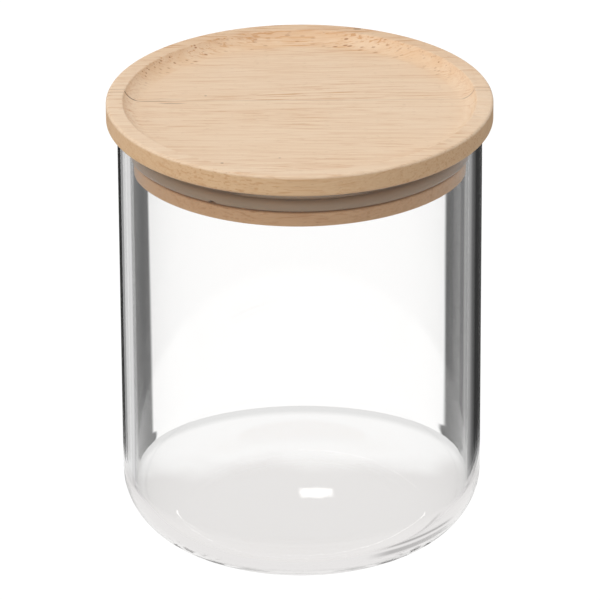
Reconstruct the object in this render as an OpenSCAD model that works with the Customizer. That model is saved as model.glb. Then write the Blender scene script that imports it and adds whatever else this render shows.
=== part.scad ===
// Lidded glass canister: a straight-walled glass jar with a rounded heel, and a lift-off wooden lid turned
// from two edge-glued boards, with a silicone seal in the groove around its plug.
// Millimetres. +Z is up, and the origin is the centre of the foot, on the surface that the jar stands on.

/* [Glass jar] */
// Outer diameter of the jar
jar_d = 100; // [84:1:140]
// Height of the jar, from the foot to the top of the rim
jar_h = 121.4; // [80:0.1:220]
// Thickness of the side wall
wall_t = 3.4; // [2:0.1:4.5]
// Thickness of the base
base_t = 3.6; // [2.5:0.1:6]
// Outer radius of the heel, between the wall and the foot
heel_r = 16.5; // [8:0.5:22]
// Width of the flat ring that the jar stands on
foot_w = 3; // [2:0.5:6]
// Rise of the domed base, inside the foot ring
dome_h = 1.2; // [0.6:0.1:2.4]

/* [Lid disc] */
// How far the disc overhangs the glass all round
overhang = 3; // [1:0.5:8]
// Thickness of the disc at its edge
disc_t = 5.9; // [4.5:0.1:12]
// Radius of the round-overs along the disc's edge
edge_r = 0.8; // [0.3:0.1:2]
// Width of the raised rim, from the disc's edge to the cove
rim_w = 4.6; // [3:0.1:10]
// Depth of the sunken floor below the rim
recess_d = 3.2; // [1.5:0.1:4]
// Width of the cove, from the rim to the floor
cove_w = 4.6; // [4:0.1:10]
// How far behind the lid's centre line its two boards are glued together
joint_y = 6; // [-20:0.5:20]

/* [Lid plug] */
// Height of the groove that holds the seal
groove_h = 7.5; // [5:0.1:14]
// Depth of the groove, in from the flange's edge
groove_d = 3.2; // [2:0.1:6]
// Height of the flange under the groove
flange_h = 4; // [2:0.1:10]
// Radius of the round-overs along the flange's edge
flange_edge_r = 0.5; // [0.2:0.1:0.9]

/* [Silicone seal] */
// Width of each soft rib around the seal; as many are made as the seal's height holds
rib_w = 3.4; // [2:0.1:3.8]
// Width of the small notch in the seal's lower edge
notch_w = 2.6; // [1.5:0.1:4]
// Direction of the notch, in degrees anticlockwise from +X
notch_angle = 240; // [0:5:355]

/* [Fits] */
// Gap between the rim of the glass and the disc that rests over it
seat_gap = 0.1; // [0.05:0.05:0.5]
// Gap between the flange and the inside of the glass
flange_gap = 1; // [0.6:0.1:3]
// Gap between the seal's ribs, drawn relaxed, and the inside of the glass
seal_gap = 0.25; // [0.2:0.05:0.5]
// Gap between the seal and each side of its groove
seal_play = 0.2; // [0.1:0.05:0.4]

/* [Hidden] */
$fn = 96;
jar_r = jar_d / 2;
bore_r = jar_r - wall_t;
foot_r = jar_r - heel_r;
dome_r = foot_r - foot_w;
heel_bore_r = heel_r - wall_t;

disc_r = jar_r + overhang;
disc_z = jar_h + seat_gap;
lid_top = disc_z + disc_t;
floor_z = lid_top - recess_d;
floor_r = disc_r - rim_w - cove_w;

flange_r = bore_r - flange_gap;
groove_r = flange_r - groove_d;
groove_z = disc_z - groove_h;
plug_z = groove_z - flange_h;

seal_r = bore_r - seal_gap;
seal_z = groove_z + seal_play;
seal_h = groove_h - 2 * seal_play;
rib_count = floor(seal_h / rib_w);
rib_pitch = seal_h / rib_count;
rib_r = rib_w / 2;

// Length added to a cutting shape so that it runs clear of what it cuts
clear = 1;

// Radius of the arc that rises by sagitta over half_chord
function arc_r(half_chord, sagitta) = (half_chord * half_chord + sagitta * sagitta) / (2 * sagitta);

// A rectangle of the half section, from radius r0 to r1 and from height z0 to z1
module span(r0, r1, z0, z1) {
    translate([r0, z0]) square([r1 - r0, z1 - z0]);
}

// A rectangle of the half section from the axis to radius r, with its two outer corners rounded
module turned_block(r, z0, z1, corner_r) {
    span(0, r - corner_r, z0, z1);
    span(0, r, z0 + corner_r, z1 - corner_r);
    for (z = [z0 + corner_r, z1 - corner_r])
        translate([r - corner_r, z]) circle(corner_r);
}

// The half section of a vessel filled solid: straight side, rounded heel and flat bottom
module vessel_section(r, z0, z1, corner_r) {
    span(0, r - corner_r, z0, z0 + corner_r);
    span(0, r, z0 + corner_r, z1);
    translate([r - corner_r, z0 + corner_r]) circle(corner_r);
}

// The shallow dome that the base rises in, above height z
module dome_section(z) {
    intersection() {
        translate([0, z + dome_h - arc_r(dome_r, dome_h)]) circle(arc_r(dome_r, dome_h));
        span(0, dome_r, z, z + dome_h);
    }
}

// The hollow of the jar, with its own domed floor
module hollow_section() {
    difference() {
        vessel_section(bore_r, base_t, jar_h + clear, heel_bore_r);
        dome_section(base_t);
    }
}

// Straight-walled jar with a domed base and a fire-polished, fully rounded rim
module glass_jar() {
    color("aliceblue", 0.35)
    rotate_extrude() {
        difference() {
            vessel_section(jar_r, 0, jar_h - wall_t / 2, heel_r);
            hollow_section();
            dome_section(0);
        }
        translate([jar_r - wall_t / 2, jar_h - wall_t / 2]) circle(wall_t / 2);
    }
}

// The sunken floor of the lid and the cove that leads down to it
module recess_section() {
    cove_r = arc_r(cove_w, recess_d);
    span(0, floor_r, floor_z, lid_top + clear);
    intersection() {
        translate([floor_r, floor_z + cove_r]) circle(cove_r);
        span(floor_r, floor_r + cove_w, floor_z, lid_top);
    }
    span(floor_r, floor_r + cove_w, lid_top, lid_top + clear);
}

// The whole lid as it is turned: disc, spigot and flange in one
module turned_lid() {
    rotate_extrude()
    difference() {
        union() {
            turned_block(disc_r, disc_z, lid_top, edge_r);
            span(0, groove_r, groove_z - flange_edge_r, disc_z + edge_r);
            turned_block(flange_r, plug_z, groove_z, flange_edge_r);
        }
        recess_section();
    }
}

// All that lies on one side of the glue joint: side is 1 behind it and -1 in front
module joint_side(side) {
    size = 2 * (disc_r + abs(joint_y) + clear);
    translate([-size / 2, side > 0 ? joint_y : joint_y - size, plug_z - clear])
        cube([size, size, lid_top - plug_z + 2 * clear]);
}

// Front board of the lid
module lid_board_front() {
    color("burlywood")
    intersection() {
        turned_lid();
        joint_side(-1);
    }
}

// Rear board of the lid
module lid_board_rear() {
    color("tan")
    intersection() {
        turned_lid();
        joint_side(1);
    }
}

// Silicone ring: a band stretched into the groove, with round ribs that wipe the glass. The notch is cut
// through its -X side, and the ring is then turned to bring the notch round to notch_angle.
module seal_ring() {
    color("rosybrown", 0.8)
    rotate([0, 0, notch_angle - 180])
    difference() {
        rotate_extrude() {
            span(groove_r, seal_r - rib_r, seal_z, seal_z + seal_h);
            for (i = [0 : rib_count - 1])
                translate([seal_r - rib_r, seal_z + (i + 0.5) * rib_pitch]) circle(rib_r);
        }
        translate([-groove_r + clear, 0, seal_z])
        rotate([0, -90, 0])
            cylinder(h = seal_r - groove_r + 2 * clear, d = notch_w);
    }
}

glass_jar();
lid_board_front();
lid_board_rear();
seal_ring();
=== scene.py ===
import logging
import math
from collections.abc import Sequence
from dataclasses import dataclass, field
from enum import Enum

import bmesh
import bpy
from mathutils import Matrix, Vector


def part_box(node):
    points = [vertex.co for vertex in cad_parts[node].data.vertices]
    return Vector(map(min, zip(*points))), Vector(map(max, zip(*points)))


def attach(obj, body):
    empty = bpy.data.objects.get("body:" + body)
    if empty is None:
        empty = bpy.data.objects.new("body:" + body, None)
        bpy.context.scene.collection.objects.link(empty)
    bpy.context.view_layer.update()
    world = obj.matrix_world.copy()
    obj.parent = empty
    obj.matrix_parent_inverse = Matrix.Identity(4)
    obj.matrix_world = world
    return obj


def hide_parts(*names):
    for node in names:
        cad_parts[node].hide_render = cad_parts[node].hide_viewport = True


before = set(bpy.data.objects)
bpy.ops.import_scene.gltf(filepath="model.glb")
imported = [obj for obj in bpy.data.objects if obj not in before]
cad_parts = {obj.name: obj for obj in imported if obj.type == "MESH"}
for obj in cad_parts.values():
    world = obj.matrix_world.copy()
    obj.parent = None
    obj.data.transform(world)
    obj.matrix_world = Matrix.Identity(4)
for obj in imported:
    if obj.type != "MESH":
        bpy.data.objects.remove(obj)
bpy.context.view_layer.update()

log = logging.getLogger("canister")

MM = 0.001
SEGMENTS = 288  # faces round the axis
MERGE = 1e-7  # points this close together are one
SHARP = math.radians(32)  # an edge that bends by more is shaded sharp

Pair = tuple[float, float]
Triple = tuple[float, float, float]
Socket = bpy.types.NodeSocket
Value = float | Sequence[float] | Socket


class Rays(Enum):
    """Which rays meet a stage object: the camera's own, or those that glass and gloss send on."""

    CAMERA = ("visible_camera",)
    LOOKS = ("visible_glossy", "visible_transmission")


class Side(Enum):
    """A board's side of the glue joint, with the direction that its cut face looks in."""

    FRONT = 1.0
    REAR = -1.0


# ---------------------------------------------------------------------------------------------------- meshes


class Section:
    """A half section in the XZ plane, drawn from point to point and then turned about the Z axis."""

    def __init__(self, radius: float, height: float) -> None:
        """Start a section.

        Args:
            radius: Distance of its first point from the axis.
            height: Height of its first point.
        """
        self.mesh = bmesh.new()
        self.tip = bmesh.ops.create_vert(self.mesh, co=(radius, 0.0, height))["vert"][0]

    def _step(self, move: Vector) -> None:
        """Draw one straight edge from the tip."""
        self.tip = bmesh.ops.extrude_vert_indiv(self.mesh, verts=[self.tip])["verts"][0]
        bmesh.ops.translate(self.mesh, verts=[self.tip], vec=move)

    def line(self, radius: float, height: float, guard: float = 0.0) -> "Section":
        """Draw a straight line to a point.

        Args:
            radius: Distance of the end point from the axis.
            height: Height of the end point.
            guard: Length of the short edges at both ends that keep the shading of a long face flat.

        Returns:
            The section itself.
        """
        whole = Vector((radius, 0.0, height)) - self.tip.co
        short = whole.normalized() * guard
        for move in (short, whole - 2 * short, short) if guard else (whole,):
            self._step(move)
        return self

    def arc(self, radius: float, height: float, degrees: float, steps: int) -> "Section":
        """Draw an arc round a centre.

        Args:
            radius: Distance of the centre from the axis.
            height: Height of the centre.
            degrees: How far it turns, positive from outward to upward.
            steps: Number of edges.

        Returns:
            The section itself.
        """
        made = bmesh.ops.spin(
            self.mesh, geom=[self.tip], cent=(radius, 0.0, height), axis=(0.0, -1.0, 0.0),
            angle=math.radians(degrees), steps=steps,
        )
        self.tip = next(g for g in made["geom_last"] if isinstance(g, bmesh.types.BMVert))
        return self

    def turn(self) -> bmesh.types.BMesh:
        """Turn the section full circle.

        Returns:
            A closed mesh whose faces point outwards.
        """
        bmesh.ops.remove_doubles(self.mesh, verts=self.mesh.verts[:], dist=MERGE)
        bmesh.ops.spin(
            self.mesh, geom=self.mesh.verts[:] + self.mesh.edges[:], cent=(0.0, 0.0, 0.0),
            axis=(0.0, 0.0, 1.0), angle=math.tau, steps=SEGMENTS, use_merge=True,
        )
        bmesh.ops.remove_doubles(self.mesh, verts=self.mesh.verts[:], dist=MERGE)
        bmesh.ops.recalc_face_normals(self.mesh, faces=self.mesh.faces[:])
        return self.mesh


def as_object(mesh: bmesh.types.BMesh, name: str) -> bpy.types.Object:
    """Turn a finished mesh into a smooth-shaded object at the origin, with its sharp edges marked.

    Args:
        mesh: The mesh, which is used up.
        name: Name of the object.

    Returns:
        The object, linked to the scene.
    """
    for face in mesh.faces:
        face.smooth = True
    for edge in mesh.edges:
        edge.smooth = edge.calc_face_angle(0.0) < SHARP
    data = bpy.data.meshes.new(name)
    mesh.to_mesh(data)
    mesh.free()
    made = bpy.data.objects.new(name, data)
    bpy.context.scene.collection.objects.link(made)
    return made


def cut_away(piece: bpy.types.Object, cutter: bpy.types.Object) -> None:
    """Cut one object's shape out of another and throw the cutter away.

    Args:
        piece: The object that is cut.
        cutter: The object whose shape is taken out.
    """
    modifier = piece.modifiers.new("cut", "BOOLEAN")
    modifier.operation, modifier.solver, modifier.object = "DIFFERENCE", "EXACT", cutter
    bpy.context.view_layer.update()
    graph = bpy.context.evaluated_depsgraph_get()
    cut = bpy.data.meshes.new_from_object(piece.evaluated_get(graph))
    piece.modifiers.clear()
    piece.data = cut
    bpy.data.objects.remove(cutter)


def fit(piece: bpy.types.Object, body: str, nodes: Sequence[str]) -> None:
    """Let a piece ride on its body and stand for its nodes, and report it.

    Args:
        piece: The finished piece.
        body: The body that it moves with.
        nodes: The nodes that it replaces.
    """
    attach(piece, body)
    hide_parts(*nodes)
    size = [round(side / MM, 1) for side in piece.dimensions]
    log.info("%s rides on %s: %s mm, %d faces", piece.name, body, size, len(piece.data.polygons))


# -------------------------------------------------------------------------------------------------- materials


@dataclass(frozen=True)
class Pattern:
    """Smooth noise: its cycles per millimetre along each axis, its detail and its distortion."""

    scale: Triple
    detail: float = 2.0
    distortion: float = 0.0


@dataclass(frozen=True)
class Dashes:
    """Dashes scattered over cells: cells per millimetre along each axis, a dash's size, and the share left empty."""

    scale: Triple
    size: float
    empty: float


@dataclass(frozen=True)
class Mark:
    """A short dark mark on the lid's top: its middle, half its length and half its width in mm, and its depth."""

    x: float
    y: float
    half_length: float
    half_width: float
    depth: float


class Graph:
    """The node tree of one material or world, with short calls for its nodes."""

    def __init__(self, owner: bpy.types.Material | bpy.types.World) -> None:
        """Clear the owner's tree and start on it."""
        owner.use_nodes = True
        self.tree = owner.node_tree
        self.tree.nodes.clear()

    def add(self, kind: str, values: dict[str | int, Value] | None = None, **settings: object) -> bpy.types.Node:
        """Add a node.

        Args:
            kind: The node's type, without the leading ShaderNode.
            values: Its inputs by name or number; a socket is linked and a value is set.
            **settings: Its own properties.

        Returns:
            The node.
        """
        node = self.tree.nodes.new("ShaderNode" + kind)
        for key, setting in settings.items():
            setattr(node, key, setting)
        for key, value in (values or {}).items():
            if isinstance(value, Socket):
                self.tree.links.new(value, node.inputs[key])
            else:
                node.inputs[key].default_value = value
        return node

    def surface(self, shader: bpy.types.Node, output: str = "OutputMaterial") -> None:
        """Make a shader the surface of the material or world."""
        self.add(output, {"Surface": shader.outputs[0]})

    def math(self, operation: str, first: Value, second: Value = 0.0, third: Value = 0.0) -> Socket:
        """Return the result of a Math node."""
        return self.add("Math", {0: first, 1: second, 2: third}, operation=operation).outputs[0]

    def position(
        self, move: Sequence[float] = (0.0, 0.0, 0.0), turn: Sequence[float] = (0.0, 0.0, 0.0),
    ) -> Socket:
        """Find the Object coordinates in millimetres, turned and then moved.

        Args:
            move: How far they are moved, in millimetres.
            turn: Their turn about each axis, in radians.

        Returns:
            The coordinates.
        """
        place = self.add("TexCoord").outputs["Object"]
        values = {"Vector": place, "Location": move, "Rotation": turn, "Scale": (1 / MM,) * 3}
        return self.add("Mapping", values).outputs[0]

    def stretched(self, place: Socket, scale: Sequence[float]) -> Socket:
        """Return coordinates multiplied along each axis."""
        return self.add("VectorMath", {0: place, 1: scale}, operation="MULTIPLY").outputs[0]

    def noise(self, place: Socket, pattern: Pattern) -> Socket:
        """Make smooth noise.

        Args:
            place: Millimetres.
            pattern: Its scale, detail and distortion.

        Returns:
            The noise, from 0 to 1.
        """
        values = {
            "Vector": self.stretched(place, pattern.scale), "Scale": 1.0,
            "Detail": pattern.detail, "Distortion": pattern.distortion,
        }
        return self.add("TexNoise", values).outputs[0]

    def axes(self, place: Socket) -> tuple[Socket, ...]:
        """Return the three parts of a vector."""
        return tuple(self.add("SeparateXYZ", {0: place}).outputs)

    def length(self, vector: Socket) -> Socket:
        """Return the length of a vector."""
        return self.add("VectorMath", {0: vector}, operation="LENGTH").outputs["Value"]

    def radius(self, place: Socket) -> Socket:
        """Return the distance from the Z axis."""
        return self.length(self.stretched(place, (1.0, 1.0, 0.0)))

    def degrees(self, rise: Socket, run: Socket) -> Socket:
        """Return the angle whose tangent is rise over run, in degrees."""
        return self.math("MULTIPLY", self.math("ARCTAN2", rise, run), 180 / math.pi)

    def band(self, value: Socket, low: float, high: float, soft: float) -> Socket:
        """Make a band with soft edges.

        Args:
            value: What it is a band of.
            low: Value at its lower edge.
            high: Value at its upper edge.
            soft: Half the width of its edges.

        Returns:
            1 between the edges and 0 outside.
        """
        rise = self.ramp_to(value, low - soft, low + soft)
        fall = self.ramp_to(value, high + soft, high - soft)
        return self.math("MULTIPLY", rise, fall)

    def ramp_to(self, value: Value, zero: float, one: float, low: float = 0.0, high: float = 1.0) -> Socket:
        """Make a smooth step.

        Args:
            value: What the step follows.
            zero: Value where the step is still low.
            one: Value where it is high.
            low: The result before the step.
            high: The result after it.

        Returns:
            The result.
        """
        values = {"Value": value, "From Min": zero, "From Max": one, "To Min": low, "To Max": high}
        return self.add("MapRange", values, interpolation_type="SMOOTHSTEP").outputs[0]

    def stops(self, value: Socket, steps: Sequence[Pair]) -> Socket:
        """Make a grey that follows a list of steps.

        Args:
            value: A number from 0 to 1.
            steps: The (place, brightness) steps.

        Returns:
            The grey.
        """
        node = self.add("ValToRGB", {0: value})
        spots = node.color_ramp.elements
        for place, grey in steps[len(spots):]:
            spots.new(place).color = (grey, grey, grey, 1.0)
        for spot, (place, grey) in zip(spots, sorted(steps)):
            spot.position, spot.color = place, (grey, grey, grey, 1.0)
        return node.outputs[0]

    def mix(self, factor: Value, first: Value, second: Value, blend: str = "MIX") -> Socket:
        """Mix two colours.

        Args:
            factor: Share of the second colour.
            first: The first colour.
            second: The second colour.
            blend: How the second acts on the first.

        Returns:
            The mixed colour.
        """
        node = self.add("Mix", {0: factor}, data_type="RGBA", blend_type=blend)
        for number, value in ((6, first), (7, second)):
            if isinstance(value, Socket):
                self.tree.links.new(value, node.inputs[number])
            else:
                node.inputs[number].default_value = (*value, 1.0)
        return node.outputs[2]

    def bump(self, height: Socket, depth: float) -> Socket:
        """Return the normal of a relief of the given depth in metres."""
        return self.add("Bump", {"Height": height, "Strength": 1.0, "Distance": depth}).outputs[0]


@dataclass(frozen=True)
class GlassFinish:
    """Clear pressed glass with faint vertical draw lines."""

    name: str = "clear_glass"
    tint: Triple = (0.998, 0.996, 0.992)
    ior: float = 1.5
    draw_lines: Pattern = Pattern((0.22, 0.22, 0.012), 1.0)
    shade_line_depth: float = 0.006 * MM
    smears: Pattern = Pattern((0.04, 0.04, 0.03), 3.0)
    dullest: float = 0.012

    def make(self) -> bpy.types.Material:
        """Build the material.

        Returns:
            The material.
        """
        material = bpy.data.materials.new(self.name)
        graph = Graph(material)
        place = graph.position()
        relief = graph.bump(graph.noise(place, self.draw_lines), self.shade_line_depth)
        rough = graph.ramp_to(graph.noise(place, self.smears), 0.35, 0.75, 0.0, self.dullest)
        graph.surface(graph.add("BsdfPrincipled", {
            "Base Color": (*self.tint, 1.0), "Roughness": rough, "IOR": self.ior, "Transmission Weight": 1.0,
            "Normal": relief,
        }))
        return material


@dataclass(frozen=True)
class WoodFinish:
    """Pale oiled rubberwood, with its grain along X. Places and widths are in millimetres."""

    name: str
    shift: Triple
    turn: Triple
    ring: float
    heart: Pair
    figure: float
    flames: float

    pale: Triple = (0.90, 0.69, 0.49)
    late: Triple = (0.66, 0.36, 0.17)
    pore: Triple = (0.50, 0.27, 0.125)
    fleck: Triple = (0.40, 0.18, 0.08)
    glue: Triple = (0.22, 0.115, 0.06)
    blush: Triple = (0.80, 0.53, 0.31)
    cloudy: Triple = (0.95, 0.90, 0.84)
    sawn: Triple = (0.97, 0.85, 0.68)
    # painted shade for the back of the rim
    back_rim_shade: Triple = (0.93, 0.87, 0.80)
    deep: Triple = (0.89, 0.70, 0.50)

    ior: float = 1.46
    specular: float = 0.35
    roughness: float = 0.46
    relief_depth: float = 0.03 * MM
    pore_depth: float = 1.6

    sway: Pattern = Pattern((0.007, 0.035, 0.035))
    sway_width: float = 16.0
    uneven: Pattern = Pattern((0.004, 0.09, 0.09))
    uneven_rings: float = 7.0
    year: tuple[Pair, ...] = ((0.0, 0.25), (0.12, 0.0), (0.55, 0.12), (0.86, 1.0), (1.0, 0.25))
    gaps: Pattern = Pattern((0.045, 0.45, 0.45))
    fibres: Pattern = Pattern((0.06, 2.3, 2.3), 5.0, 0.4)
    streaks: Pattern = Pattern((0.022, 0.5, 0.5), 3.0, 0.6)
    licks: Pattern = Pattern((0.085, 1.7, 1.7), 2.0, 0.35)
    lively: Pattern = Pattern((0.012, 0.035, 0.035), 1.0)
    clouds: Pattern = Pattern((0.02, 0.05, 0.05), 3.0)
    blushes: Pattern = Pattern((0.10, 0.22, 0.3), 4.0)
    patches: Pattern = Pattern((0.06, 0.06, 0.06))
    wander: Pattern = Pattern((0.25, 0.25, 0.25))
    wander_width: float = 0.8

    fine: Dashes = Dashes((0.30, 2.5, 2.5), 0.20, 0.55)
    coarse: Dashes = Dashes((0.30, 1.0, 1.0), 0.30, 0.30)
    specks: Dashes = Dashes((0.075, 0.12, 0.12), 0.048, 0.68)
    marks: tuple[Mark, ...] = (
        Mark(-35.0, 4.3, 4.6, 0.32, 0.5), Mark(-36.5, 7.4, 5.5, 0.25, 0.3), Mark(16.3, 48.9, 1.5, 0.45, 0.9),
    )

    def make(self, lid: "LidSizes") -> bpy.types.Material:
        """Build the material.

        Args:
            lid: The lid's sizes, which say where its rim, cove and glue joint lie.

        Returns:
            The material.
        """
        material = bpy.data.materials.new(self.name)
        graph = Graph(material)
        here = graph.position()
        wood = graph.position(self.shift, self.turn)
        colour, relief = self._grain(graph, wood)
        colour, pores = self._pores(graph, wood, here, colour, lid)
        colour = self._tones(graph, here, wood, colour, lid)
        colour = self._glue_line(graph, here, colour, lid)
        height = graph.math("MULTIPLY_ADD", pores, -self.pore_depth, relief)
        rough = graph.math("MULTIPLY_ADD", relief, 0.12, self.roughness)
        graph.surface(graph.add("BsdfPrincipled", {
            "Base Color": colour, "Roughness": rough, "IOR": self.ior, "Specular IOR Level": self.specular,
            "Normal": graph.bump(height, self.relief_depth),
        }))
        return material

    def _grain(self, graph: Graph, wood: Socket) -> tuple[Socket, Socket]:
        """Build growth rings and fibres.

        Args:
            graph: The material's nodes.
            wood: Millimetres in the board's own axes.

        Returns:
            The colour and the relief of the bare grain.
        """
        _, y, z = graph.axes(wood)
        across = graph.math("MULTIPLY_ADD", graph.noise(wood, self.sway), self.sway_width, y)
        out = graph.add("CombineXYZ", {
            1: graph.math("SUBTRACT", across, self.heart[0] + self.sway_width / 2),
            2: graph.math("SUBTRACT", z, self.heart[1]),
        }).outputs[0]
        rings = graph.math("DIVIDE", graph.length(out), self.ring)
        rings = graph.math("MULTIPLY_ADD", graph.noise(wood, self.uneven), self.uneven_rings, rings)
        strength = graph.add("TexWhiteNoise", {"W": graph.math("FLOOR", rings)}, noise_dimensions="1D").outputs[0]
        line = graph.stops(graph.math("FRACT", rings), self.year)
        line = graph.math("MULTIPLY", line, graph.ramp_to(strength, 0.1, 1.0, 0.15, 1.0))
        line = graph.math("MULTIPLY", line, graph.ramp_to(graph.noise(wood, self.gaps), 0.42, 0.58, 0.1, 1.0))
        fibre = graph.noise(wood, self.fibres)
        flame = graph.ramp_to(graph.noise(wood, self.licks), 0.55, 0.64)
        lively = graph.ramp_to(graph.noise(wood, self.lively), 0.38, 0.60, 0.2, 1.0)
        amount = graph.math("MULTIPLY", line, self.figure)
        amount = graph.math("MULTIPLY_ADD", graph.ramp_to(fibre, 0.3, 0.75), 0.16, amount)
        streak = graph.ramp_to(graph.noise(wood, self.streaks), 0.46, 0.8)
        amount = graph.math("MULTIPLY_ADD", streak, 0.24, amount)
        amount = graph.math("MULTIPLY_ADD", graph.math("MULTIPLY", flame, lively), self.flames, amount)
        colour = graph.mix(graph.math("MINIMUM", amount, 1.0), self.pale, self.late)
        return colour, graph.math("MULTIPLY_ADD", line, 0.4, fibre)

    def _pores(
        self, graph: Graph, wood: Socket, here: Socket, colour: Socket, lid: "LidSizes",
    ) -> tuple[Socket, Socket]:
        """Build fine pores, the blush and the coarse flecks of the rear cove, and a few dark specks.

        Args:
            graph: The material's nodes.
            wood: Millimetres in the board's own axes.
            here: Millimetres in the part's axes.
            colour: The colour so far.
            lid: The lid's sizes.

        Returns:
            The colour and the relief of the pores.
        """
        fine = self._dashes(graph, wood, self.fine)
        coarse = self._dashes(graph, wood, self.coarse)
        specks = self._dashes(graph, wood, self.specks)
        cove = graph.band(graph.radius(here), lid.floor_radius / MM, lid.cove_radius / MM, 0.5)
        cove = graph.math("MULTIPLY", cove, graph.ramp_to(graph.axes(here)[1], 12.0, 26.0))
        blush = graph.ramp_to(graph.noise(here, self.blushes), 0.36, 0.68, 0.10, 0.55)
        colour = graph.mix(graph.math("MULTIPLY", cove, blush), colour, self.blush)
        colour = graph.mix(graph.math("MULTIPLY", fine, 0.40), colour, self.pore)
        patchy = graph.ramp_to(graph.noise(here, self.patches), 0.40, 0.56, 0.25, 0.85)
        patchy = graph.math("ADD", graph.math("MULTIPLY", cove, patchy), 0.05)
        colour = graph.mix(graph.math("MULTIPLY", coarse, patchy), colour, self.fleck)
        colour = graph.mix(graph.math("MULTIPLY", specks, 0.75), colour, self.glue)
        return colour, graph.math("MAXIMUM", fine, coarse)

    def _dashes(self, graph: Graph, wood: Socket, dashes: Dashes) -> Socket:
        """Scatter short dashes along the grain.

        Args:
            graph: The material's nodes.
            wood: Millimetres in the board's own axes.
            dashes: How large and how frequent they are.

        Returns:
            A mask of the dashes.
        """
        cells = graph.add("TexVoronoi", {
            "Vector": graph.stretched(wood, dashes.scale), "Scale": 1.0, "Randomness": 1.0,
        })
        chosen = graph.add("SeparateColor", {0: cells.outputs["Color"]}).outputs[0]
        dash = graph.ramp_to(cells.outputs["Distance"], dashes.size, dashes.size * 0.45)
        return graph.math("MULTIPLY", dash, graph.ramp_to(chosen, dashes.empty, dashes.empty + 0.08))

    def _tones(self, graph: Graph, here: Socket, wood: Socket, colour: Socket, lid: "LidSizes") -> Socket:
        """Cloud the whole board softly, deepen its sawn edge and the plug, and darken the back of its rim with
        painted shade.

        Args:
            graph: The material's nodes.
            here: Millimetres in the part's axes.
            wood: Millimetres in the board's own axes.
            colour: The colour so far.
            lid: The lid's sizes.

        Returns:
            The colour.
        """
        radius = graph.radius(here)
        _, y, z = graph.axes(here)
        edge, top, under = lid.disc_radius / MM, lid.top / MM, lid.disc_bottom / MM
        cloud = graph.ramp_to(graph.noise(wood, self.clouds), 0.35, 0.7, 0.0, 0.35)
        colour = graph.mix(cloud, colour, self.cloudy, "MULTIPLY")
        rim, low = graph.ramp_to(radius, edge - 0.9, edge - 0.15), graph.ramp_to(z, top - 0.3, top - 1.0)
        colour = graph.mix(graph.math("MULTIPLY", rim, low), colour, self.sawn, "MULTIPLY")
        # painted shade: the back of the rim is darkened
        back = graph.math("MULTIPLY", graph.ramp_to(y, 14.0, 40.0), graph.ramp_to(radius, 48.0, 49.0))
        colour = graph.mix(back, colour, self.back_rim_shade, "MULTIPLY")
        return graph.mix(graph.ramp_to(z, under + 0.4, under - 0.4), colour, self.deep, "MULTIPLY")

    def _glue_line(self, graph: Graph, here: Socket, colour: Socket, lid: "LidSizes") -> Socket:
        """Draw the board's edge of the glue line, darkest on the left of the lid, and the short dark marks.

        Args:
            graph: The material's nodes.
            here: Millimetres in the part's axes.
            colour: The colour so far.
            lid: The lid's sizes.

        Returns:
            The colour.
        """
        x, y, _ = graph.axes(here)
        radius = graph.radius(here)
        cove, floor = lid.cove_radius / MM, lid.floor_radius / MM
        off = graph.math("ABSOLUTE", graph.math("SUBTRACT", y, lid.joint / MM))
        on_rim = graph.ramp_to(radius, cove - 0.2, cove + 0.2)
        on_floor = graph.ramp_to(radius, floor + 2.2, floor + 0.6)
        pair = graph.math("MULTIPLY", graph.band(off, 0.8, 1.15, 0.1), graph.math("MULTIPLY", on_rim, 0.38))
        fade = graph.math("MULTIPLY", graph.ramp_to(x, -33.0, -40.0, 0.14, 0.5), graph.ramp_to(x, -47.0, -41.0))
        seam = graph.mix(on_floor, (0.8, 0.8, 0.8), fade)
        seam = graph.math("MULTIPLY", seam, graph.math("SUBTRACT", 1.0, on_rim))
        seam = graph.math("MULTIPLY", seam, graph.ramp_to(x, 10.0, 40.0, 1.0, 0.5))
        seam = graph.math("MULTIPLY", seam, graph.ramp_to(off, 0.38, 0.20))
        dark = graph.math("MAXIMUM", seam, pair)
        for mark in self.marks:
            dark = graph.math("MAXIMUM", dark, self._mark(graph, here, mark))
        return graph.mix(dark, colour, self.glue)

    def _mark(self, graph: Graph, here: Socket, mark: Mark) -> Socket:
        """Draw one short dark mark along the grain on the lid's top.

        Args:
            graph: The material's nodes.
            here: Millimetres in the part's axes.
            mark: Its place, size and depth.

        Returns:
            A mask of the mark.
        """
        x, y, _ = graph.axes(here)
        wavy = graph.math("MULTIPLY_ADD", graph.noise(here, self.wander), self.wander_width, y)
        middle = mark.y + self.wander_width / 2
        along = graph.math("DIVIDE", graph.math("SUBTRACT", x, mark.x), mark.half_length)
        across = graph.math("DIVIDE", graph.math("SUBTRACT", wavy, middle), mark.half_width)
        far = graph.math("ADD", graph.math("MULTIPLY", along, along), graph.math("MULTIPLY", across, across))
        return graph.ramp_to(far, 1.0, 0.2, 0.0, mark.depth)


@dataclass(frozen=True)
class SiliconeFinish:
    """Milky, slightly tacky silicone."""

    name: str = "milky_silicone"
    colour: Triple = (0.69, 0.495, 0.315)
    cloudy: float = 0.9
    clouds: Pattern = Pattern((0.05, 0.05, 0.12))
    dust: Pattern = Pattern((0.5, 0.5, 0.9), 4.0)
    dust_depth: float = 0.002 * MM
    ior: float = 1.41
    clearness: float = 0.45

    def make(self) -> bpy.types.Material:
        """Build the material.

        Returns:
            The material.
        """
        material = bpy.data.materials.new(self.name)
        graph = Graph(material)
        place = graph.position()
        dust = graph.noise(place, self.dust)
        cloud = graph.ramp_to(graph.noise(place, self.clouds), 0.35, 0.7, 0.0, 0.5)
        colour = graph.mix(cloud, self.colour, tuple(self.cloudy * part for part in self.colour))
        graph.surface(graph.add("BsdfPrincipled", {
            "Base Color": colour, "Roughness": graph.ramp_to(dust, 0.3, 0.75, 0.3, 0.4), "IOR": self.ior,
            "Transmission Weight": self.clearness, "Normal": graph.bump(dust, self.dust_depth),
        }))
        return material


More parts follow.
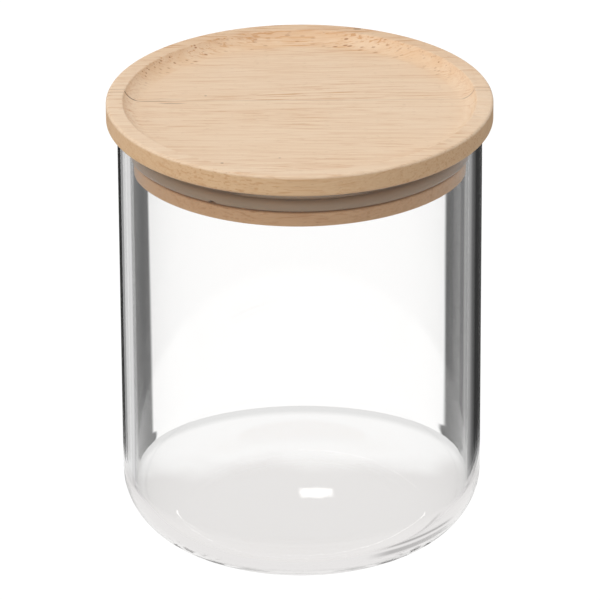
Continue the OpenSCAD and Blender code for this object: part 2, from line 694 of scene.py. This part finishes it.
# ------------------------------------------------------------------------------------------------------ pieces


@dataclass
class GlassJar:
    """The pressed glass jar: straight wall, rounded heel, domed base and fire-polished rim."""

    node: str = "glass_jar"
    wall: float = 3.4 * MM
    base: float = 3.6 * MM
    heel: float = 16.5 * MM
    foot: float = 3.0 * MM
    dome: float = 1.2 * MM
    guard: float = 0.4 * MM
    dome_steps: int = 14
    heel_steps: int = 28
    inner_steps: int = 24
    rim_steps: int = 20
    finish: GlassFinish = field(default_factory=GlassFinish)

    def build(self) -> bpy.types.Object:
        """Build the jar as one closed shell.

        Returns:
            The jar.
        """
        low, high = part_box(self.node)
        radius, bottom, rim = high.x, low.z, high.z - self.wall / 2
        bore, foot = radius - self.wall, radius - self.heel
        dome = foot - self.foot
        bend = (dome * dome + self.dome * self.dome) / (2 * self.dome)
        sweep = math.degrees(math.asin(dome / bend))
        inner_heel = self.heel - self.wall
        floor = bottom + self.base
        section = Section(0.0, bottom + self.dome)
        section.arc(0.0, bottom + self.dome - bend, -sweep, self.dome_steps)
        section.line(foot, bottom, self.guard)
        section.arc(foot, bottom + self.heel, 90, self.heel_steps)
        section.line(radius, rim, self.guard)
        section.arc(radius - self.wall / 2, rim, 180, self.rim_steps)
        section.line(bore, floor + inner_heel, self.guard)
        section.arc(foot, floor + inner_heel, -90, self.inner_steps)
        section.line(dome, floor, self.guard)
        section.arc(0.0, floor + self.dome - bend, sweep, self.dome_steps)
        return as_object(section.turn(), "jar_glass_body")

    def dress(self, piece: bpy.types.Object) -> None:
        """Give the jar its finish, and let light through it without shadows.

        Args:
            piece: The jar.
        """
        piece.data.materials.append(self.finish.make())
        piece.visible_shadow = False
        piece.visible_diffuse = False
        fit(piece, "jar", [self.node])


@dataclass(frozen=True)
class LidSizes:
    """Sizes that the lid's two boards and their finish share."""

    disc_radius: float
    disc_bottom: float
    top: float
    plug_bottom: float
    flange_radius: float
    joint: float
    edge: float = 0.8 * MM
    rim: float = 4.6 * MM
    cove: float = 4.6 * MM
    recess: float = 3.2 * MM
    groove_height: float = 7.5 * MM
    groove_depth: float = 3.2 * MM
    flange_edge: float = 0.5 * MM
    ease: float = 0.7 * MM

    @property
    def cove_radius(self) -> float:
        """Distance from the axis to the cove's outer edge."""
        return self.disc_radius - self.rim

    @property
    def floor_radius(self) -> float:
        """Radius of the flat sunken floor."""
        return self.cove_radius - self.cove

    @property
    def floor(self) -> float:
        """Height of the sunken floor."""
        return self.top - self.recess

    @property
    def groove_bottom(self) -> float:
        """Height of the groove's lower side."""
        return self.disc_bottom - self.groove_height


@dataclass
class TurnedLid:
    """The lid, turned from two edge-glued boards: disc, groove and flange in one."""

    front_node: str = "lid_board_front"
    rear_node: str = "lid_board_rear"
    disc_thickness: float = 5.9 * MM
    flange_inset: float = 7.4 * MM
    guard: float = 0.3 * MM
    small_steps: int = 8
    edge_steps: int = 10
    cove_steps: int = 18
    lip_steps: int = 4

    def sizes(self) -> LidSizes:
        """Place the lid's sizes by the two boards' own boxes.

        Returns:
            The sizes.
        """
        low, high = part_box(self.front_node)
        rear_low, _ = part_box(self.rear_node)
        return LidSizes(
            disc_radius=high.x, disc_bottom=high.z - self.disc_thickness, top=high.z, plug_bottom=low.z,
            flange_radius=high.x - self.flange_inset, joint=rear_low.y,
        )

    def turned(self, lid: LidSizes) -> bmesh.types.BMesh:
        """Turn the whole lid in one, and soften the lip between its rim and its cove.

        Args:
            lid: The lid's sizes.

        Returns:
            The closed mesh of both boards together.
        """
        guard, edge, small = self.guard, lid.edge, lid.flange_edge
        groove = lid.flange_radius - lid.groove_depth
        bend = (lid.cove ** 2 + lid.recess ** 2) / (2 * lid.recess)
        tilt = math.degrees(math.atan2(bend - lid.recess, lid.cove))
        section = Section(0.0, lid.plug_bottom)
        section.line(lid.flange_radius - small, lid.plug_bottom, guard)
        section.arc(lid.flange_radius - small, lid.plug_bottom + small, 90, self.small_steps)
        section.line(lid.flange_radius, lid.groove_bottom - small, guard)
        section.arc(lid.flange_radius - small, lid.groove_bottom - small, 90, self.small_steps)
        section.line(groove, lid.groove_bottom, guard)
        section.line(groove, lid.disc_bottom, guard)
        section.line(lid.disc_radius - edge, lid.disc_bottom, guard)
        section.arc(lid.disc_radius - edge, lid.disc_bottom + edge, 90, self.edge_steps)
        section.line(lid.disc_radius, lid.top - edge, guard)
        section.arc(lid.disc_radius - edge, lid.top - edge, 90, self.edge_steps)
        section.line(lid.cove_radius, lid.top, guard)
        section.arc(lid.floor_radius, lid.floor + bend, tilt - 90, self.cove_steps)
        section.line(0.0, lid.floor, guard)
        mesh = section.turn()
        lip = [side for side in mesh.edges if all(self._on_lip(lid, vert.co) for vert in side.verts)]
        bmesh.ops.bevel(
            mesh, geom=lip, offset=lid.ease, offset_type="OFFSET", affect="EDGES", segments=self.lip_steps,
            profile=0.5, material=-1, clamp_overlap=True,
        )
        return mesh

    def _on_lip(self, lid: LidSizes, place: Vector) -> bool:
        """Return whether a point is on the circle where the rim's top meets the cove."""
        near = MERGE * 100
        return abs(place.xy.length - lid.cove_radius) < near and abs(place.z - lid.top) < near

    def board(self, lid: LidSizes, side: Side, name: str) -> bpy.types.Object:
        """Build one board: the turned lid cut at the glue joint, with its cut face closed.

        Args:
            lid: The lid's sizes.
            side: The board's side of the joint.
            name: Name of the piece.

        Returns:
            The board.
        """
        mesh = self.turned(lid)
        cut = bmesh.ops.bisect_plane(
            mesh, geom=mesh.verts[:] + mesh.edges[:] + mesh.faces[:], dist=MERGE,
            plane_co=(0.0, lid.joint, 0.0), plane_no=(0.0, side.value, 0.0), clear_outer=True,
        )
        edges = [g for g in cut["geom_cut"] if isinstance(g, bmesh.types.BMEdge)]
        bmesh.ops.triangle_fill(mesh, edges=edges, use_beauty=True, use_dissolve=False)
        bmesh.ops.recalc_face_normals(mesh, faces=mesh.faces[:])
        return as_object(mesh, name)

    def dress(self, piece: bpy.types.Object, lid: LidSizes, finish: WoodFinish, node: str) -> None:
        """Give a board its finish.

        Args:
            piece: The board.
            lid: The lid's sizes.
            finish: The board's own cut of wood.
            node: The node that it stands for.
        """
        piece.data.materials.append(finish.make(lid))
        fit(piece, "lid", [node])


@dataclass
class SiliconeSeal:
    """The ribbed ring in the lid's groove, with one small notch in its lower edge."""

    node: str = "seal_ring"
    rib: float = 1.7 * MM
    ribs: int = 2
    bore: float = 42.4 * MM
    notch: float = 1.3 * MM
    notch_angle: float = math.radians(240)
    rib_steps: int = 18
    rod_sides: int = 40
    rod_length: float = 12 * MM
    finish: SiliconeFinish = field(default_factory=SiliconeFinish)

    def build(self) -> bpy.types.Object:
        """Build the ring.

        Returns:
            The ring.
        """
        low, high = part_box(self.node)
        bottom, top = low.z, high.z
        pitch, core = (top - bottom) / self.ribs, high.x - self.rib
        section = Section(self.bore, bottom).line(core, bottom)
        for number in range(self.ribs):
            middle = bottom + (number + 0.5) * pitch
            section.line(core, middle - self.rib).arc(core, middle, 180, self.rib_steps)
        section.line(core, top).line(self.bore, top).line(self.bore, bottom)
        ring = as_object(section.turn(), "silicone_seal")
        cut_away(ring, self._notch_cutter(bottom, core))
        return ring

    def _notch_cutter(self, bottom: float, core: float) -> bpy.types.Object:
        """Build the rod that cuts the notch.

        Args:
            bottom: Height of the ring's lower edge.
            core: Radius of the ring where its ribs begin.

        Returns:
            The rod.
        """
        mesh = bmesh.new()
        lie = Matrix.Rotation(self.notch_angle, 4, "Z") @ Matrix.Rotation(math.pi / 2, 4, "Y")
        place = Matrix.Translation((math.cos(self.notch_angle) * core, math.sin(self.notch_angle) * core, bottom))
        bmesh.ops.create_cone(
            mesh, cap_ends=True, segments=self.rod_sides, radius1=self.notch, radius2=self.notch,
            depth=self.rod_length, matrix=place @ lie,
        )
        return as_object(mesh, "notch_cutter")

    def dress(self, piece: bpy.types.Object) -> None:
        """Give the ring its finish.

        Args:
            piece: The ring.
        """
        piece.data.materials.append(self.finish.make())
        fit(piece, "lid", [self.node])


# ------------------------------------------------------------------------------------------------------- stage


def glow(name: str, strength: float) -> bpy.types.Material:
    """Build a plain white glow.

    Args:
        name: Name of the material.
        strength: Its brightness.

    Returns:
        The material.
    """
    material = bpy.data.materials.new(name)
    graph = Graph(material)
    graph.surface(graph.add("Emission", {"Color": (1.0, 1.0, 1.0, 1.0), "Strength": strength}))
    return material


@dataclass(frozen=True)
class PatchGlow:
    """Glow of the floor that shows through the jar, with painted shade: dimmer at the front, with dark lines under
    the heel's right and a dimmer edge.

    Places are in millimetres and bearings in degrees from the right, positive to the back.
    """

    name: str = "floor_patch"
    # painted shade: the front of the patch glows dimmer than its back
    near: Triple = (0.81, 0.795, 0.79)
    far: Triple = (1.02, 1.02, 1.02)
    drift: Pattern = Pattern((0.03, 0.03, 0.03))
    drift_width: float = 30.0
    fade: Pair = (34.0, 52.0)
    # painted shade: two dark lines on the patch, seen in the heel's lower right
    inner_shade_line: Triple = (42.2, 45.0, 0.7)
    outer_shade_line: Triple = (47.0, 48.6, 0.6)
    shade_line_bearing: Triple = (-58.0, -16.0, 7.0)
    shade_line_depth: float = 0.5
    # painted shade: the patch glows dimmer past its border
    border: Pair = (63.0, 68.0)
    border_shade: float = 0.80

    def make(self) -> bpy.types.Material:
        """Build the material.

        Returns:
            The material.
        """
        material = bpy.data.materials.new(self.name)
        graph = Graph(material)
        place = graph.position()
        x, y, _ = graph.axes(place)
        radius = graph.radius(place)
        depth = graph.math("MULTIPLY_ADD", graph.noise(place, self.drift), self.drift_width, y)
        # painted shade: the glow dims towards the front
        colour = graph.mix(graph.ramp_to(depth, *self.fade), self.near, self.far)
        # painted shade: dark lines cut into the glow under the heel's right
        lines = graph.math("ADD", graph.band(radius, *self.inner_shade_line), graph.band(radius, *self.outer_shade_line))
        lines = graph.math("MULTIPLY", lines, graph.band(graph.degrees(y, x), *self.shade_line_bearing))
        # painted shade: a dimmer ring at the patch's edge
        border = graph.ramp_to(radius, *self.border, 1.0, self.border_shade)
        strength = graph.math("MULTIPLY_ADD", lines, -self.shade_line_depth, border)
        graph.surface(graph.add("Emission", {"Color": colour, "Strength": strength}))
        return material


@dataclass(frozen=True)
class FlagGlow:
    """Glow of the surround: white with upright dark flags low down behind the jar, and a small bright softbox.

    Its strips are (degrees to the right of straight ahead, brightness) steps. Rays that come straight through the
    glass meet one set of strips, and rays that it has mirrored meet another.
    """

    name: str = "surround"
    ahead: tuple[Pair, ...] = (
        (-45.0, 1.0), (-27.0, 1.0), (-26.0, 0.7), (-23.0, 0.7), (-21.5, 0.02), (-11.0, 0.02), (-10.2, 1.0),
        (8.6, 1.0), (9.3, 0.02), (18.0, 0.04), (20.0, 0.36), (26.0, 0.36), (27.0, 1.0), (45.0, 1.0),
    )
    mirrored: tuple[Pair, ...] = (
        (-45.0, 0.35), (-39.0, 0.35), (-37.0, 0.7), (-23.0, 0.7), (-21.5, 0.02), (-3.0, 0.02), (-1.0, 0.35),
        (1.0, 0.35), (3.0, 0.03), (31.0, 0.03), (37.0, 0.35), (45.0, 0.35),
    )
    span: float = 90.0
    front: Triple = (-44.0, 44.0, 1.0)
    low: Pair = (-32.0, -6.0)
    soft: float = 6.0
    mirrored_soft: float = 3.0
    white: Triple = (1.0, 1.0, 1.0)
    sides: Triple = (0.35, 0.35, 0.35)
    above: Triple = (0.85, 0.845, 0.84)
    box_azimuth: Triple = (-0.15, 2.15, 0.2)
    box_height: Triple = (24.45, 25.45, 0.25)
    box_glow: float = 4.0
    strength: float = 1.1

    def make(self) -> bpy.types.Material:
        """Build the material.

        Returns:
            The material.
        """
        material = bpy.data.materials.new(self.name)
        graph = Graph(material)
        place = graph.add("TexCoord").outputs["Object"]
        x, y, z = graph.axes(place)
        azimuth, height = graph.degrees(x, y), graph.degrees(z, graph.radius(place))
        front = graph.band(azimuth, *self.front)
        low = graph.band(height, *self.low, self.soft)
        seen = graph.mix(graph.math("MULTIPLY", front, low), self.white, self._strips(graph, azimuth, self.ahead))
        mirrored = graph.mix(front, self.sides, self._strips(graph, azimuth, self.mirrored))
        mirrored = graph.mix(graph.band(height, *self.low, self.mirrored_soft), self.above, mirrored)
        bounced = graph.math("GREATER_THAN", graph.add("LightPath").outputs["Glossy Depth"], 0.5)
        box = graph.math("MULTIPLY", graph.band(azimuth, *self.box_azimuth), graph.band(height, *self.box_height))
        strength = graph.math("MULTIPLY_ADD", box, self.box_glow, self.strength)
        graph.surface(graph.add("Emission", {"Color": graph.mix(bounced, seen, mirrored), "Strength": strength}))
        return material

    def _strips(self, graph: Graph, azimuth: Socket, steps: Sequence[Pair]) -> Socket:
        """Paint upright grey strips.

        Args:
            graph: The surround's nodes.
            azimuth: Degrees to the right of straight ahead.
            steps: The (degrees, brightness) steps of the strips.

        Returns:
            The brightness.
        """
        turned = graph.math("FLOORED_MODULO", graph.math("ADD", azimuth, self.span / 2), self.span)
        places = [(0.5 + angle / self.span, grey) for angle, grey in steps]
        return graph.stops(graph.math("DIVIDE", turned, self.span), places)


@dataclass
class Studio:
    """The floor, the white surround with its dark flags, the lights and the camera."""

    reach: float = 6.0
    white: float = 1.05
    patch: float = 71 * MM
    patch_drop: float = 0.05 * MM
    disc_sides: int = 96
    sphere_sides: int = 64
    aim: Triple = (0.0, 0.0, 0.12)
    room: float = 0.42
    lens: float = 380.52
    sensor: float = 36.0
    clip: float = 50.0
    eye: Triple = (-0.2 * MM, -1592.9 * MM, 812.9 * MM)
    pitch: float = math.radians(25.106)
    roll: float = -0.0058
    bounces: int = 24
    patch_glow: PatchGlow = field(default_factory=PatchGlow)
    flag_glow: FlagGlow = field(default_factory=FlagGlow)

    def _show(self, thing: bpy.types.Object, material: bpy.types.Material, rays: Rays) -> None:
        """Give a stage object its glow, and let only one set of rays meet it.

        Args:
            thing: The stage object.
            material: Its glow.
            rays: The rays that meet it.
        """
        thing.data.materials.append(material)
        for kind in ("camera", "diffuse", "glossy", "transmission", "shadow", "volume_scatter"):
            name = "visible_" + kind
            setattr(thing, name, name in rays.value)

    def _disc(self, name: str, radius: float, height: float) -> bpy.types.Object:
        """Build a flat disc round the Z axis.

        Args:
            name: Name of the object.
            radius: Its radius.
            height: Its height.

        Returns:
            The disc.
        """
        mesh = bmesh.new()
        lift = Matrix.Translation((0, 0, height))
        bmesh.ops.create_circle(mesh, cap_ends=True, segments=self.disc_sides, radius=radius, matrix=lift)
        return as_object(mesh, name)

    def _sphere(self, name: str, radius: float) -> bpy.types.Object:
        """Build a sphere round the origin.

        Args:
            name: Name of the object.
            radius: Its radius.

        Returns:
            The sphere.
        """
        mesh = bmesh.new()
        bmesh.ops.create_uvsphere(
            mesh, u_segments=self.sphere_sides, v_segments=self.sphere_sides // 2, radius=radius,
        )
        return as_object(mesh, name)

    def build_floor(self) -> None:
        """Lay the pale floor with its backdrop, and the patch of floor that the glass shows under the jar."""
        self._show(self._disc("floor", self.reach, 0.0), glow("pale_floor", self.white), Rays.CAMERA)
        patch = self._disc("floor_patch", self.patch, -self.patch_drop)
        self._show(patch, self.patch_glow.make(), Rays.LOOKS)
        self._show(self._sphere("backdrop", self.reach), glow("backdrop", self.white), Rays.CAMERA)

    def build_surround(self) -> None:
        """Hang the bright surround, whose dark flags draw the edges of the glass."""
        self._show(self._sphere("surround", self.reach * 1.1), self.flag_glow.make(), Rays.LOOKS)

    def _softbox(self, name: str, place: Triple, size: float, power: float) -> None:
        """Hang a square softbox that looks at the lid, and that the glass doesn't mirror.

        Args:
            name: Name of the light.
            place: Where it hangs.
            size: Length of its side.
            power: Its power in watts.
        """
        light = bpy.data.lights.new(name, "AREA")
        light.shape, light.size, light.energy = "SQUARE", size, power
        made = bpy.data.objects.new(name, light)
        made.location = place
        made.rotation_mode = "QUATERNION"
        made.rotation_quaternion = (Vector(self.aim) - Vector(place)).to_track_quat("-Z", "Y")
        made.visible_glossy = made.visible_transmission = made.visible_camera = False
        bpy.context.scene.collection.objects.link(made)

    def build_lights(self) -> None:
        """Hang the overhead and the left-hand softbox, in a dim even room."""
        self._softbox("softbox_above", place=(-0.35, -0.45, 1.95), size=1.2, power=18.0)
        self._softbox("softbox_left", place=(-1.7, -1.1, 0.6), size=1.0, power=8.0)
        world = bpy.data.worlds.new("room")
        bpy.context.scene.world = world
        graph = Graph(world)
        light = graph.add("Background", {"Color": (1.0, 1.0, 1.0, 1.0), "Strength": self.room})
        graph.surface(light, "OutputWorld")

    def build_camera(self) -> None:
        """Set up the camera, the plain view transform and enough bounces for glass behind glass."""
        data = bpy.data.cameras.new("camera")
        data.lens, data.sensor_width, data.clip_end = self.lens, self.sensor, self.clip
        camera = bpy.data.objects.new("camera", data)
        tilt = Matrix.Rotation(math.pi / 2 - self.pitch, 4, "X")
        camera.matrix_world = Matrix.Translation(self.eye) @ tilt @ Matrix.Rotation(self.roll, 4, "Z")
        scene = bpy.context.scene
        scene.collection.objects.link(camera)
        scene.camera = camera
        scene.view_settings.view_transform = "Standard"
        scene.cycles.max_bounces = scene.cycles.transmission_bounces = scene.cycles.glossy_bounces = self.bounces


def main() -> None:
    """Build the canister and its studio, and log each piece's size."""
    logging.basicConfig(level=logging.INFO, format="%(message)s")
    jar = GlassJar()
    jar.dress(jar.build())

    turner = TurnedLid()
    lid = turner.sizes()
    front = WoodFinish(
        name="board_front_wood", shift=(3.0, -7.0, 5.0), turn=(0.02, 0.012, 0.02), ring=1.15, heart=(-16.0, 75.0),
        figure=0.34, flames=0.40,
    )
    rear = WoodFinish(
        name="board_rear_wood", shift=(61.0, 40.0, 21.0), turn=(-0.05, 0.02, -0.035), ring=0.95, heart=(10.0, 90.0),
        figure=0.50, flames=0.75,
    )
    turner.dress(turner.board(lid, Side.FRONT, "lid_front_board"), lid, front, turner.front_node)
    turner.dress(turner.board(lid, Side.REAR, "lid_rear_board"), lid, rear, turner.rear_node)

    seal = SiliconeSeal()
    seal.dress(seal.build())

    studio = Studio()
    studio.build_floor()
    studio.build_surround()
    studio.build_lights()
    studio.build_camera()


if __name__ == "__main__":
    main()
